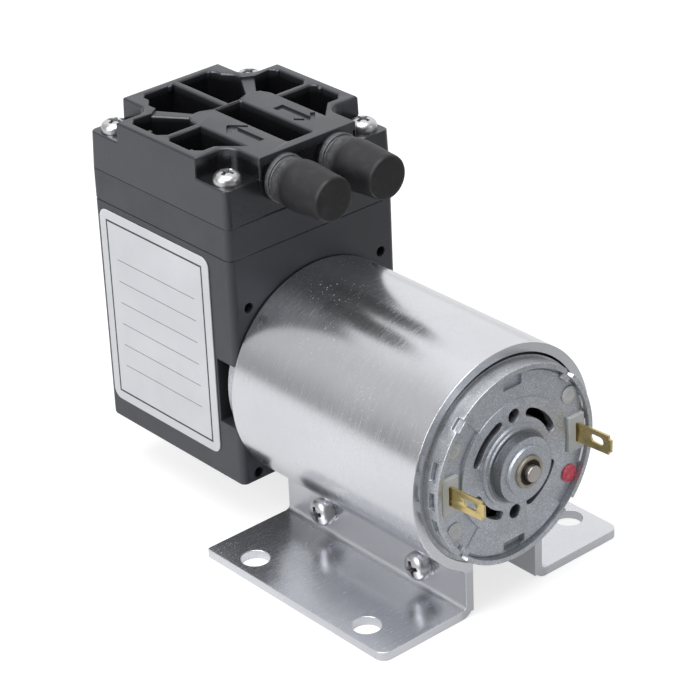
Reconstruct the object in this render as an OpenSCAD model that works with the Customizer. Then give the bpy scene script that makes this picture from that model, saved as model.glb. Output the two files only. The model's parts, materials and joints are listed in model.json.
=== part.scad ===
// Mini diaphragm vacuum pump: pump head on a brushed DC motor held in a sheet clamp bracket.
// Origin: centre of the four foot holes at the underside of the feet. +Z up, -Y towards the terminals.

/* [Pump head] */
// Width of the pump head across the motor axis
head_w = 40; // [39:0.5:46]
// Depth of the pump head along the motor axis
head_d = 41; // [40:0.5:48]
// Height of the pump body below its upper joint
body_h = 47.2; // [46:0.2:52]
// Depth of the body below the motor axis
body_drop = 18.8; // [17.8:0.2:21]
// Thickness of the valve plate
plate_t = 6.4; // [6:0.2:8]
// Height of the head cover
cover_h = 11.6; // [11:0.2:14]
// Drop of the four screw ledges below the cover top
ledge_drop = 4.1; // [3:0.1:5]
// Depth of the weight-saving pockets in the cover
pocket_depth = 8.4; // [5:0.2:8.6]
// Radius of the vertical corners of the head
corner_r = 1.3; // [0.8:0.1:3]
// Spacing of the front face holes across the head
face_hole_x = 32.6; // [31:0.2:33]
// Height of the upper front face holes above the motor axis
face_hole_up = 18; // [17:0.2:20]
// Depth of the lower front face holes below the motor axis
face_hole_down = 17; // [16:0.2:17]

/* [Ports] */
// Distance between the two hose barbs
port_gap = 12.9; // [12.4:0.1:14.4]
// Height of the hose barbs above the valve plate
port_rise = 6.3; // [5.8:0.1:6.6]
// Bore of the hose barbs
port_bore = 3.2; // [2.4:0.2:3.4]
// Outer diameter of the hose barb tube
barb_d = 5.4; // [5:0.2:6]
// Length of the hose barbs
barb_l = 10; // [8:0.5:11]
// Length of the rubber dust caps
cap_l = 12.6; // [12:0.2:16]
// Outer diameter of the dust caps at the mouth
cap_d = 9.8; // [9:0.2:10.6]

/* [Motor] */
// Outer diameter of the motor can
can_d = 38.4; // [37.6:0.2:38.6]
// Length of the motor can
can_l = 57.2; // [56.8:0.2:64]
// Depth of the can inside the pump body
can_sink = 4; // [3.6:0.1:4.4]
// Diameter of the motor shaft
shaft_d = 3.17; // [3:0.01:3.2]
// Length of the rear bearing boss
boss_l = 4.3; // [3.5:0.1:5.5]
// Distance of the cap vents from the inside of the can
vent_in = 8.4; // [8:0.1:8.8]
// Length of the solder tabs outside the insulators
tab_l = 7.2; // [6:0.2:10]

/* [Clamp bracket] */
// Thickness of the clamp sheet
sheet_t = 1.8; // [1.5:0.1:2]
// Height of the inside of the sleeve above the feet
under_gap = 9.55; // [9.35:0.05:14]
// Length of the clamp along the motor
clamp_l = 49.4; // [46:0.2:50]
// Overall width over both feet
feet_w = 60; // [59:0.5:70]
// Outer width over the two clamp walls
walls_w = 19.2; // [18:0.2:19.4]
// Distance of the foot holes from the outer edge of the foot
hole_in_x = 4.3; // [3.8:0.1:6]
// Distance of the foot holes from the ends of the foot
hole_in_y = 9.1; // [6:0.1:11]
// Diameter of the foot holes
hole_d = 5.5; // [4.5:0.1:6]
// Radius of the foot corners at the terminal end
foot_r = 2; // [1:0.2:4]
// Radius of the foot corners under the pump head
foot_r_head = 0.5; // [0.4:0.1:4]

/* [Crank] */
// Crank offset of the eccentric
crank_e = 1.5; // [1:0.1:1.6]
// Diameter of the diaphragm
diaphragm_d = 34; // [32:0.5:34.5]
// Diameter of the pump chamber
chamber_d = 28; // [26:0.5:28]
// Bearing outer diameter
bearing_d = 16; // [15.6:0.1:17]

/* [Screws] */
// Pan head diameter of the cover screws
head_d_screw = 5.3; // [5:0.1:5.6]
// Pan head diameter of the cross screws
head_d_cross = 5.6; // [5.2:0.1:6]
// Screw thread diameter
thread_d = 3; // [2.6:0.1:3]

/* [Hidden] */
$fn = 64;
e = 0.01;
// motor can and sleeve radii, height of the motor axis
can_r = can_d / 2;
can_wall = 1;
can_in = can_r - can_wall;
ring_t = 0.85;
clamp_ri = can_r + ring_t;
clamp_ro = clamp_ri + sheet_t;
axis_h = under_gap + clamp_ri;
// head and foot positions along Y
seat_gap = 0.3;
face_y = clamp_l / 2 + seat_gap;
foot_front = -clamp_l / 2;
body_z0 = axis_h - body_drop;
body_z1 = body_z0 + body_h;
plate_z1 = body_z1 + plate_t;
cover_z1 = plate_z1 + cover_h;
ledge_z = cover_z1 - ledge_drop;
pocket_z = cover_z1 - pocket_depth;
port_x = port_gap / 2;
port_z = plate_z1 + port_rise;
mid_y = head_d / 2;
// cover outline: notch and screw places measured from the head corner
notch_x = 8.1;
notch_y = 8.7;
screw_in_x = 3.6;
screw_in_y = 3.8;
screw_x = head_w / 2 - screw_in_x;
screw_y0 = screw_in_y;
screw_y1 = head_d - screw_in_y;
arm_x = head_w / 2 - notch_x;
// motor stations measured from the head face towards the tail
lip = can_l - can_sink;
front = -can_sink;
cap_z = lip - 2.4;
cap_low = lip - 1.3;
cap_mid = lip - 0.9;
cap_top = lip - 0.6;
boss_end = cap_top + boss_l;
shaft_r = shaft_d / 2;
core_r = can_in - 5.2;
core_z0 = 9;
core_z1 = lip - 16.2;
slot_r = core_r - 4.6;
coil_r = 5.2;
coil_t = 3.9;
magnet_z0 = 6;
magnet_z1 = lip - 11.2;
magnet_t = 4.7;
sleeve_r = 3.4;
bar_r = 4.4;
sleeve_z0 = lip - 11.6;
bar_z0 = lip - 10.8;
// places on the end cap
vent_r = can_in - vent_in;
disc_r = can_in - 5.4;
block_x = can_in - 2.6;
block_t = 3.8;
block_w = 7.2;
tab_x = can_in - 2.5;
tab_w = 3.9;
tab_t = 0.5;
rivet_x = (can_in - 1.8) * cos(29.83);
rivet_y = (can_in - 1.8) * sin(29.83);
// crank stations measured from the head face into the head
rod_y = mid_y;
rod_t = 5;
wall = 2.6;
window_h = 13.2;
hub_y0 = rod_y - 10;
hub_y1 = rod_y - rod_t / 2;
bear_r = bearing_d / 2;
journal_r = 4;
crank_z = axis_h + crank_e;
seat_z = body_z1 - 1.2 + crank_e;
chamber_h = 3.5;
valve_r = 4;
in_seat_z = body_z1 + chamber_h + 0.9;
out_seat_z = plate_z1 - 1.5;
thread_r = thread_d / 2;
// clamp walls, foot holes and cross screws
wall_o = walls_w / 2;
wall_i = wall_o - sheet_t;
hole_x = feet_w - 2 * hole_in_x;
hole_y = clamp_l - 2 * hole_in_y;
washer_r = 2.8;
washer_t = 0.5;
spring_t = 0.8;
nut_t = 2.4;
sleeve_gap = 0.17;
cross_h = axis_h - sqrt(clamp_ro * clamp_ro - wall_o * wall_o) - washer_r - sleeve_gap;
cross_ys = [clamp_l / 2 - 11.9, -clamp_l / 2 + 11];
head_seat = -wall_o - washer_t - spring_t;

module in_head() {
  translate([0, face_y, 0]) children();
}
// motor frame: local x across, local y up, local z from the head face towards the tail
module tailward() {
  translate([0, face_y, axis_h]) rotate([90, 0, 0]) children();
}
module tube(ro, ri, z0, z1) {
  difference() {
    translate([0, 0, z0]) cylinder(r = ro, h = z1 - z0);
    translate([0, 0, z0 - 1]) cylinder(r = ri, h = z1 - z0 + 2);
  }
}
module rrect(x0, y0, x1, y1, r) {
  translate([x0 + r, y0]) square([x1 - x0 - 2 * r, y1 - y0]);
  translate([x0, y0 + r]) square([x1 - x0, y1 - y0 - 2 * r]);
  for (x = [x0 + r, x1 - r], y = [y0 + r, y1 - r]) translate([x, y]) circle(r = r);
}
module mirrored() {
  children();
  mirror([1, 0, 0]) children();
}
// pan head with a cross recess, seat at z = 0, head up, shank down
module pan_screw(hd, hh, len, tr) {
  difference() {
    union() {
      intersection() {
        cylinder(d = hd, h = hh);
        translate([0, 0, hh - hd * 0.72]) sphere(r = hd * 0.72);
      }
      translate([0, 0, -len]) cylinder(r = tr, h = len + e);
    }
    for (a = [20, 110]) rotate([0, 0, a])
      translate([-hd * 0.28, -0.33, hh - 1.1]) cube([hd * 0.56, 0.66, 2]);
    translate([0, 0, hh - 1.3]) cylinder(r = 0.62, h = 2);
  }
}

// section of the clamp bracket, seen along the motor
module bracket_profile() {
  // wrap round the motor, open between the walls
  difference() {
    circle(r = clamp_ro);
    circle(r = clamp_ri);
    translate([-wall_i, -clamp_ro - 1]) square([2 * wall_i, clamp_ro]);
  }
  mirrored() {
    // wall
    difference() {
      translate([wall_i, -axis_h + 1]) square([sheet_t, axis_h - 12]);
      circle(r = clamp_ri);
    }
    // foot with a bent root
    translate([wall_o + 1, -axis_h]) square([feet_w / 2 - wall_o - 1, sheet_t]);
    difference() {
      translate([wall_i, -axis_h]) square([sheet_t + 1, sheet_t + 1]);
      translate([wall_o + 1, -axis_h + sheet_t + 1]) circle(r = 1);
      difference() {
        translate([wall_i - 1, -axis_h - 1]) square([3.8, 3.8]);
        translate([wall_i + 2.8, -axis_h + 2.8]) circle(r = 2.8);
        translate([wall_i + 2.8, -axis_h - 1]) square([4, 8]);
        translate([wall_i - 2, -axis_h + 2.8]) square([8, 4]);
      }
    }
  }
}
module clamp_bracket() color([0.78, 0.78, 0.8]) {
  difference() {
    translate([0, foot_front + clamp_l, axis_h]) rotate([90, 0, 0])
      linear_extrude(clamp_l) bracket_profile();
    // foot holes
    for (x = [-1, 1], y = [-1, 1])
      translate([x * hole_x / 2, y * hole_y / 2, -1]) cylinder(d = hole_d, h = 5);
    // rounded foot corners
    for (x = [-1, 1]) {
      translate([x * feet_w / 2, foot_front, -1]) corner_cut(foot_r, -x, 1);
      translate([x * feet_w / 2, foot_front + clamp_l, -1]) corner_cut(foot_r_head, -x, -1);
    }
    // cross screw holes
    for (y = cross_ys) translate([-wall_o - 1, y, cross_h]) rotate([0, 90, 0])
      cylinder(r = thread_r + 0.2, h = walls_w + 2);
  }
}
module corner_cut(r, sx, sy) {
  difference() {
    translate([sx > 0 ? -1 : -r, sy > 0 ? -1 : -r, 0]) cube([r + 1, r + 1, 5]);
    translate([sx * r, sy * r, -1]) cylinder(r = r, h = 7);
  }
}
module cross_at(x) {
  for (y = cross_ys) translate([x, y, cross_h]) rotate([0, -90, 0]) children();
}
module cross_screws() color([0.8, 0.8, 0.82])
  cross_at(head_seat)
    pan_screw(head_d_cross, 2.2, walls_w + washer_t * 2 + spring_t + nut_t + 0.8, thread_r);
module spring_washers() color([0.7, 0.7, 0.72])
  cross_at(-wall_o - washer_t) difference() {
    tube(washer_r - 0.2, thread_r + 0.1, 0, spring_t);
    rotate([0, 0, 35]) translate([1, -0.25, -1]) cube([3, 0.5, 3]);
  }
module flat_washers() color([0.75, 0.75, 0.77]) {
  cross_at(-wall_o) tube(washer_r, thread_r + 0.1, 0, washer_t);
  cross_at(wall_o + washer_t) tube(washer_r, thread_r + 0.1, 0, washer_t);
}
module cross_nuts() color([0.7, 0.7, 0.72])
  cross_at(wall_o + washer_t + nut_t) rotate([0, 0, 30]) difference() {
    cylinder(r = 3.15, h = nut_t, $fn = 6);
    translate([0, 0, -1]) cylinder(r = thread_r, h = nut_t + 2);
  }

// motor: can, end cap, rotor and brushes
module motor_can() color([0.7, 0.71, 0.73]) tailward() difference() {
  union() {
    difference() {
      translate([0, 0, front]) cylinder(r = can_r, h = can_l);
      translate([0, 0, front + can_wall]) cylinder(r = can_in, h = can_l);
    }
    translate([0, 0, front - 3]) cylinder(r = 6.5, h = 3 + e);
    // rolled-in crimp tabs over the end cap
    for (a = [45, 135, 225]) rotate([0, 0, a]) translate([can_in - 1, -1.2, cap_low]) cube([1.2, 2.4, 1]);
  }
  translate([0, 0, front - 4]) cylinder(r = 3.5, h = 6);
  // motor screw threads
  for (x = [-1, 1]) translate([x * 12.5, 0, front - 1]) cylinder(r = thread_r, h = 3);
  // crimp notches in the lip
  for (a = [45, 135, 225, 314]) rotate([0, 0, a])
    translate([can_in + 0.2, -1.2, lip - 1.4]) cube([3, 2.4, 3]);
  // windows beside the terminals
  for (s = [0, 180], a = [-17, 0, 17]) rotate([0, 0, s + a])
    translate([can_in - 1, -1.7, lip - 2.3]) cube([4, 3.4, 1.3]);
  // front wall vents
  for (a = [30, 90, 150, 210, 270, 330]) rotate([0, 0, a])
    translate([12.5, 0, front - 1]) cylinder(r = a % 180 == 90 ? 2 : 1.5, h = 4);
}
module flux_ring() color([0.45, 0.45, 0.47]) tailward() difference() {
  tube(clamp_ri, can_r, 5, lip - 7.5);
  translate([-1, -clamp_ro, 0]) cube([2, clamp_ro, lip]);
}
module sector(r, a0, a1) {
  mid = (a0 + a1) / 2;
  polygon([[0, 0], [r * cos(a0), r * sin(a0)], [1.3 * r * cos(mid), 1.3 * r * sin(mid)],
    [r * cos(a1), r * sin(a1)]]);
}
module end_cap() color([0.68, 0.7, 0.73]) tailward() difference() {
  union() {
    translate([0, 0, cap_z]) cylinder(r = can_in, h = cap_low - cap_z);
    // raised upper and lower sectors
    for (a = [0, 180]) rotate([0, 0, a]) intersection() {
      translate([0, 0, cap_low - e]) cylinder(r = can_in - 0.5, h = cap_mid - cap_low + e);
      translate([0, 0, cap_low - 1]) linear_extrude(4) sector(can_r + 6, 49, 131);
    }
    // raised middle disc and bearing boss
    translate([0, 0, cap_low - e]) cylinder(r = disc_r, h = cap_top - cap_low + e);
    translate([0, 0, cap_top - e]) cylinder(r = 7.9, h = 0.5);
    translate([0, 0, cap_top - e]) cylinder(r = 7.2, h = 0.9);
    translate([0, 0, cap_top - e]) cylinder(r = 6.4, h = boss_l - 1.4);
    translate([0, 0, cap_top - e]) cylinder(r = 4.7, h = boss_l - 0.8);
  }
  translate([0, 0, cap_z - 1]) cylinder(r = 3.1, h = 12);
  // arc vents
  for (a = [22, 112, 202, 292]) rotate([0, 0, a]) arc_slot(vent_r, 1.7, 46);
  for (y = [-1, 1]) translate([0, y * vent_r, cap_z - 1]) cylinder(r = 1.35, h = 5);
  // terminal windows and rivet holes
  for (x = [-1, 1])
    translate([x * block_x - block_t / 2, -block_w / 2, cap_z - 1]) cube([block_t, block_w, 4]);
  for (x = [-1, 1], y = [-1, 1])
    translate([x * rivet_x, y * rivet_y, cap_z - 1]) cylinder(r = 1.2, h = 4);
  // locating window below and pressed pocket above
  translate([-2.6, -can_in + 0.6, cap_z - 1]) cube([5.2, 2, 4]);
  translate([-2.2, can_in - 2.8, cap_mid - 0.6]) cube([4.4, 2.1, 2]);
}
module arc_slot(r, w, sweep) {
  translate([0, 0, cap_z - 1]) intersection() {
    tube(r + w / 2, r - w / 2, 0, 5);
    linear_extrude(5) sector(20, 0, sweep);
  }
  for (a = [0, sweep]) rotate([0, 0, a]) translate([r, 0, cap_z - 1]) cylinder(r = w / 2 - 0.06, h = 5);
}
module brush_carrier() color([0.9, 0.9, 0.87]) tailward() difference() {
  union() {
    tube(can_in - 0.3, vent_r + 1.6, cap_z - 1.4, cap_z);
    for (x = [-1, 1])
      translate([x * block_x - block_t / 2, -block_w / 2, cap_z - e])
        cube([block_t, block_w, cap_low - cap_z + 0.8]);
    for (x = [-1, 1], y = [-1, 1]) translate([x * rivet_x, y * rivet_y, 0]) {
      translate([0, 0, cap_z - e]) cylinder(r = 1.2, h = cap_low - cap_z + e);
      translate([0, 0, cap_low]) cylinder(r = 1.75, h = 0.35);
    }
  }
  // tab slots
  for (x = [-1, 1])
    translate([x * tab_x - tab_t / 2, -tab_w / 2, cap_z - 3]) cube([tab_t, tab_w, 12]);
}
module solder_tabs() color([0.75, 0.62, 0.3]) tailward() for (x = [-1, 1]) difference() {
  union() {
    translate([x * tab_x - tab_t / 2, -tab_w / 2, cap_z - 1.8]) cube([tab_t, tab_w, tab_l + 3.7]);
    translate([x * tab_x - tab_t / 2, -1.25, cap_z - 1.8]) cube([tab_t, 2.5, tab_l + 4.3]);
  }
  for (z = [0, 1.6]) translate([x * tab_x - 1, 0, cap_low + tab_l - 2.9 + z]) rotate([0, 90, 0])
    cylinder(r = 0.78, h = 2);
  translate([x * tab_x - 1, -0.78, cap_low + tab_l - 2.9]) cube([2, 1.56, 1.6]);
}
module brush_arms() color([0.8, 0.6, 0.35]) tailward() for (a = [0, 180]) rotate([0, 0, a]) {
  translate([bar_r + 3.8, -2, cap_z - 6.4]) cube([0.4, 4, 5]);
  translate([bar_r + 3.8, -2, cap_z - 1.8]) cube([tab_x - tab_t / 2 - bar_r - 3.8, 4, 0.4]);
}
module brushes() color([0.16, 0.16, 0.17]) tailward() for (a = [0, 180]) rotate([0, 0, a])
  translate([bar_r + 0.2, -1.7, cap_z - 6.2]) cube([3.6, 3.4, 3.8]);
module rear_bushing() color([0.55, 0.42, 0.28]) tailward()
  tube(3.1, shaft_r + 0.04, cap_top + 0.2, boss_end - 0.3);
module front_bushing() color([0.55, 0.42, 0.28]) tailward()
  tube(3.5, shaft_r + 0.04, front - 2.8, front + 2);
module magnets() color([0.2, 0.2, 0.21]) tailward() for (a = [0, 180]) rotate([0, 0, a])
  intersection() {
    tube(can_in, can_in - magnet_t, magnet_z0, magnet_z1);
    linear_extrude(lip) sector(can_r + 11, -62, 62);
  }
module magnet_clips() color([0.6, 0.6, 0.62]) tailward() for (a = [90, 270]) rotate([0, 0, a])
  intersection() {
    tube(can_in, can_in - 0.7, magnet_z0 + 2, magnet_z1 - 2);
    linear_extrude(lip) sector(can_r + 11, -26, 26);
  }
shaft_front = -(rod_y - 1.5);
module motor_shaft() color([0.75, 0.75, 0.77]) tailward()
  translate([0, 0, shaft_front]) cylinder(r = shaft_r, h = boss_end + 0.7 - shaft_front);
module armature_core() color([0.4, 0.4, 0.43]) tailward() difference() {
  tube(core_r, shaft_r, core_z0, core_z1);
  for (a = [0 : 72 : 288]) rotate([0, 0, a]) {
    translate([slot_r, 0, core_z0 - 1]) cylinder(r = 3.2, h = core_z1 - core_z0 + 2);
    translate([slot_r + 0.6, -0.8, core_z0 - 1]) cube([6, 1.6, core_z1 - core_z0 + 2]);
  }
}
module armature_windings() color([0.7, 0.38, 0.2]) tailward() {
  for (a = [0 : 72 : 288]) rotate([0, 0, a])
    translate([slot_r, 0, core_z0 - 1]) cylinder(r = 3, h = core_z1 - core_z0 + 2);
  for (z = [core_z0 - 0.5 - coil_t, core_z1 + 0.05]) rotate_extrude()
    translate([coil_r, z]) rrect(0, 0, core_r - 0.9 - coil_r, coil_t, 1.6);
}
module commutator_sleeve() color([0.35, 0.2, 0.12]) tailward()
  tube(sleeve_r, shaft_r, sleeve_z0, cap_z - 0.8);
module commutator_bars() color([0.78, 0.48, 0.28]) tailward() difference() {
  tube(bar_r, sleeve_r, bar_z0, cap_z - 1.6);
  for (a = [36 : 72 : 324]) rotate([0, 0, a])
    translate([0, -0.25, bar_z0 - 1]) cube([bar_r + 1, 0.5, 20]);
}
module thrust_washers() color([0.85, 0.8, 0.6]) tailward() {
  tube(2.6, shaft_r, front + 2.2, front + 2.8);
  tube(2.6, shaft_r, cap_z - 0.6, cap_z - 0.1);
}
module motor_screws() color([0.7, 0.7, 0.72]) tailward() for (x = [-1, 1])
  translate([x * 12.5, 0, front - 3.2]) rotate([180, 0, 0]) pan_screw(5.2, 2, 4.6, thread_r);

// pump head: body, crank, diaphragm, valves and cover
module head_block(z0, z1) {
  translate([0, 0, z0]) linear_extrude(z1 - z0)
    rrect(-head_w / 2, 0, head_w / 2, head_d, corner_r);
}
module pump_body() color([0.2, 0.2, 0.21]) in_head() difference() {
  head_block(body_z0, body_z1);
  // motor seat from the front
  translate([0, can_sink, axis_h]) rotate([90, 0, 0]) cylinder(r = can_r + 0.1, h = can_sink + 1);
  translate([0, can_sink + 4.2, axis_h]) rotate([90, 0, 0]) cylinder(r = 6.6, h = 6);
  for (x = [-1, 1]) translate([x * 12.5, can_sink + 4.2, axis_h]) rotate([90, 0, 0])
    cylinder(r = thread_r + 0.1, h = 6);
  // side windows beside the motor
  for (x = [-1, 1])
    translate([x * (head_w / 2 - 1.5) - 2.5, -1, axis_h - window_h / 2]) cube([5, 6.8, window_h]);
  // crankcase
  translate([-head_w / 2 + wall, can_sink + 3.2, body_z0 + 3])
    cube([head_w - 2 * wall, head_d - can_sink - 6, body_h - 7.2]);
  // crank access opening at the back
  translate([0, head_d + 1, axis_h]) rotate([90, 0, 0]) cylinder(r = 14, h = 6);
  // rod opening and diaphragm seat
  translate([0, mid_y, body_z1 - 6]) cylinder(r = chamber_d / 2, h = 8);
  translate([0, mid_y, body_z1 - 1.2]) cylinder(r = diaphragm_d / 2, h = 3);
  // cover screw pilots
  for (x = [-1, 1], y = [screw_y0, screw_y1])
    translate([x * screw_x, y, body_z1 - 3.6]) cylinder(r = thread_r, h = 5);
  // blind holes in the front face
  for (x = [-1, 1], z = [face_hole_up, -face_hole_down])
    along_y(-1, 5, 1, x * face_hole_x / 2, axis_h + z);
}
module along_y(y0, y1, r, x = 0, z = axis_h) {
  translate([x, y1, z]) rotate([90, 0, 0]) cylinder(r = r, h = y1 - y0);
}
module eccentric() color([0.6, 0.6, 0.62]) in_head() difference() {
  union() {
    along_y(hub_y0, hub_y1 - 0.6, 6);
    along_y(hub_y1 - e, rod_y + 2.5, journal_r, 0, crank_z);
    along_y(hub_y1 - 0.6, hub_y1, 5.2, 0, crank_z);
    // counterweight opposite to the crank offset
    intersection() {
      along_y(hub_y0, hub_y0 + 4.5, 11.5);
      translate([-20, 0, axis_h - 20]) cube([40, 40, 17]);
    }
  }
  along_y(hub_y0 - 1, rod_y + 1.5, shaft_r);
  translate([0, hub_y0 + 5.8, axis_h]) cylinder(r = thread_r - 0.25, h = 12);
}
module set_screw() color([0.25, 0.25, 0.27]) in_head()
  translate([0, hub_y0 + 5.8, axis_h + shaft_r]) difference() {
    cylinder(r = thread_r - 0.25, h = 4);
    translate([0, 0, 2.6]) cylinder(r = 0.75, h = 3, $fn = 6);
  }
module bearing_inner() color([0.8, 0.8, 0.82]) in_head() ring_y(5.6, journal_r);
module ring_y(ro, ri) {
  difference() {
    along_y(rod_y - rod_t / 2, rod_y + rod_t / 2, ro, 0, crank_z);
    along_y(rod_y - rod_t / 2 - 1, rod_y + rod_t / 2 + 1, ri, 0, crank_z);
    translate([0, rod_y, crank_z]) rotate([90, 0, 0]) rotate_extrude()
      translate([6.1, 0]) circle(r = 1.06);
  }
}
module bearing_outer() color([0.8, 0.8, 0.82]) in_head() ring_y(bear_r, 6.7);
module bearing_balls() color([0.85, 0.85, 0.87]) in_head() for (a = [0 : 36 : 324])
  translate([0, rod_y, crank_z]) rotate([0, a, 0]) translate([6.1, 0, 0]) sphere(r = 1);
rod_eye = bear_r + 2;
module connecting_rod() color([0.75, 0.75, 0.73]) in_head() difference() {
  union() {
    along_y(rod_y - rod_t / 2, rod_y + rod_t / 2, rod_eye, 0, crank_z);
    translate([-4, rod_y - rod_t / 2, crank_z]) cube([8, rod_t, seat_z - 3 - crank_z]);
    translate([-1.5, rod_y - 4, crank_z + rod_eye - 1])
      cube([3, 8, seat_z - 3 - crank_z - rod_eye + 1.5]);
    translate([0, mid_y, seat_z - 3]) cylinder(r = 9, h = 3);
  }
  along_y(rod_y - rod_t, rod_y + rod_t, bear_r, 0, crank_z);
  translate([0, mid_y, seat_z - 9]) cylinder(r = thread_r, h = 10);
}
module diaphragm() color([0.12, 0.12, 0.12]) in_head() translate([0, mid_y, 0]) difference() {
  union() {
    translate([0, 0, body_z1 - 1.2]) cylinder(r = diaphragm_d / 2, h = 1.2);
    translate([0, 0, seat_z - 1]) tube(11.6, 9.1, 0, 2.2);
    translate([0, 0, seat_z]) cylinder(r = 10.5, h = 1.2);
  }
  translate([0, 0, body_z1 - 3]) cylinder(r = 9.1, h = seat_z - body_z1 + 3);
  translate([0, 0, body_z1 - 3]) cylinder(r = thread_r + 0.1, h = 12);
}
module diaphragm_retainer() color([0.7, 0.7, 0.72]) in_head()
  translate([0, mid_y, seat_z + 1.2]) difference() {
    cylinder(r = 9, h = 1.4);
    translate([0, 0, -1]) cylinder(r = thread_r, h = 4);
    translate([0, 0, 0.6]) cylinder(r = 2.8, h = 4);
  }
module retainer_screw() color([0.7, 0.7, 0.72]) in_head()
  translate([0, mid_y, seat_z + 1.8]) difference() {
    union() {
      cylinder(r = 2.75, h = 0.8);
      translate([0, 0, -9]) cylinder(r = thread_r, h = 9 + e);
    }
    for (a = [0, 90]) rotate([0, 0, a]) translate([-1.4, -0.3, 0.3]) cube([2.8, 0.6, 2]);
  }
module valve_plate() color([0.19, 0.19, 0.2]) in_head() difference() {
  head_block(body_z1, plate_z1);
  translate([0, mid_y, body_z1 - 1]) cylinder(r = chamber_d / 2, h = chamber_h + 1);
  for (x = [-1, 1], y = [screw_y0, screw_y1])
    translate([x * screw_x, y, body_z1 - 1]) cylinder(r = thread_r + 0.1, h = plate_t + 2);
  // valve pockets, stems and flow holes
  translate([-port_x, mid_y, in_seat_z - 2]) cylinder(r = valve_r + 0.7, h = 2);
  translate([port_x, mid_y, out_seat_z]) cylinder(r = valve_r + 0.7, h = 3);
  translate([port_x, mid_y, body_z1 + chamber_h - 1]) cylinder(r = 1.6, h = 1.5);
  for (x = [-1, 1]) translate([x * port_x, mid_y, body_z1]) {
    cylinder(r = 0.9, h = plate_t + 1);
    for (a = [0 : 72 : 288]) rotate([0, 0, a]) translate([2.5, 0, 0])
      cylinder(r = 0.7, h = plate_t + 1);
  }
  // gasket groove
  translate([0, 0, plate_z1 - 0.6]) linear_extrude(2) gasket_plan();
}
module gasket_plan() {
  translate([0, mid_y]) difference() {
    union() {
      for (x = [-1, 1]) translate([x * port_x, 0]) circle(r = 7.2);
      translate([-port_x, -2.5]) square([port_gap, 5]);
    }
    for (x = [-1, 1]) translate([x * port_x, 0]) circle(r = 5.4);
  }
}
// umbrella valve: sealing disc on top of its seat at z = 0, stem and barb below
module umbrella(stem) {
  cylinder(r = valve_r, h = 0.7);
  translate([0, 0, -stem]) cylinder(r = 0.9, h = stem + e);
  translate([0, 0, -stem - 0.5]) cylinder(r = 1.25, h = 0.5 + e);
}
module outlet_valve() color([0.5, 0.18, 0.12]) in_head() translate([port_x, mid_y, out_seat_z])
  umbrella(out_seat_z - body_z1 - chamber_h - 0.5);
module inlet_valve() color([0.5, 0.18, 0.12]) in_head() translate([-port_x, mid_y, in_seat_z])
  mirror([0, 0, 1]) umbrella(plate_z1 - in_seat_z);
module cover_gasket() color([0.1, 0.1, 0.1]) in_head()
  translate([0, 0, plate_z1 - 0.6]) linear_extrude(0.6) gasket_plan();

// cover plan in head coordinates
module notch_plan() {
  translate([-1, -1]) square([notch_x + 1, notch_y + 1 - 3.2]);
  translate([-1, -1]) square([notch_x + 1 - 3.2, notch_y + 1]);
  translate([notch_x - 3.2, notch_y - 3.2]) circle(r = 3.2);
}
module notches() {
  mirrored() {
    translate([-head_w / 2, 0]) notch_plan();
    translate([-head_w / 2, head_d]) mirror([0, 1]) notch_plan();
  }
}
rim = 1.7;
pad_r = 3.4;
pad_y = mid_y + 1.1;
rib_y = mid_y - 0.3;
rib_drop = 0.5;
rib_t = 1.4;
side_x = -head_w / 2 + rim + 0.2;
pad_x = -port_x - pad_r;
module front_pocket() {
  back = rib_y - rib_t / 2;
  polygon([[side_x, back - 1], [side_x + 1, back], [pad_x, back], [pad_x, notch_y - 2.1],
    [pad_x - 4.1, notch_y + 1.9], [side_x + 1.6, notch_y + 1.9], [side_x, notch_y + 3.5]]);
}
module mid_pocket() {
  front = rib_y + rib_t / 2;
  back = head_d - notch_y;
  difference() {
    polygon([[side_x, front + 1.4], [side_x + 1.4, front], [pad_x, front], [pad_x, pad_y],
      [-port_x - 2, pad_y + 3.3], [-arm_x - 0.9, back - 1.6], [side_x + 1.6, back - 1.2],
      [side_x, back - 2.8]]);
    translate([-port_x, pad_y]) circle(r = pad_r);
  }
}
module back_pocket() {
  difference() {
    polygon([[-0.8, mid_y + 3.4], [-0.8, head_d - rim], [-7.6, head_d - rim],
      [-8.8, head_d - rim - 1.2], [-8.8, head_d - 4.6], [-arm_x + 1.4, head_d - 6.6],
      [-arm_x + 1.4, head_d - notch_y], [-port_x + 0.6, pad_y + 3.4], [-3.1, mid_y + 3.4]]);
    translate([-port_x, pad_y]) circle(r = pad_r);
  }
}
// the slanted rib between the middle and back pockets lies a little below the top
module low_rib() {
  difference() {
    polygon([[-port_x - 2.1, pad_y + 1], [-port_x - 2.1, pad_y + 3.3], [-arm_x - 1, head_d - notch_y - 1.6],
      [-arm_x + 1.5, head_d - notch_y], [-port_x + 0.7, pad_y + 3.4], [-port_x + 0.7, pad_y + 1]]);
    translate([-port_x, pad_y]) circle(r = pad_r);
  }
}
module arrow(len) {
  translate([-0.65, 0]) square([1.3, len - 0.6]);
  for (s = [-40, 40]) translate([0, len]) rotate([0, 0, s])
    translate([-0.45, -3.6]) square([0.9, 3.7]);
}
module barb() {
  along_y(-barb_l, 0.5, barb_d / 2, 0, 0);
  along_y(-1.1, 0.5, 4.7, 0, 0);
  along_y(-1.4, -0.5, 4.3, 0, 0);
  for (y = [-barb_l + 1.2, -barb_l + 4.2]) along_y(y - 0.5, y + 0.5, barb_d / 2 + 0.3, 0, 0);
}
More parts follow.
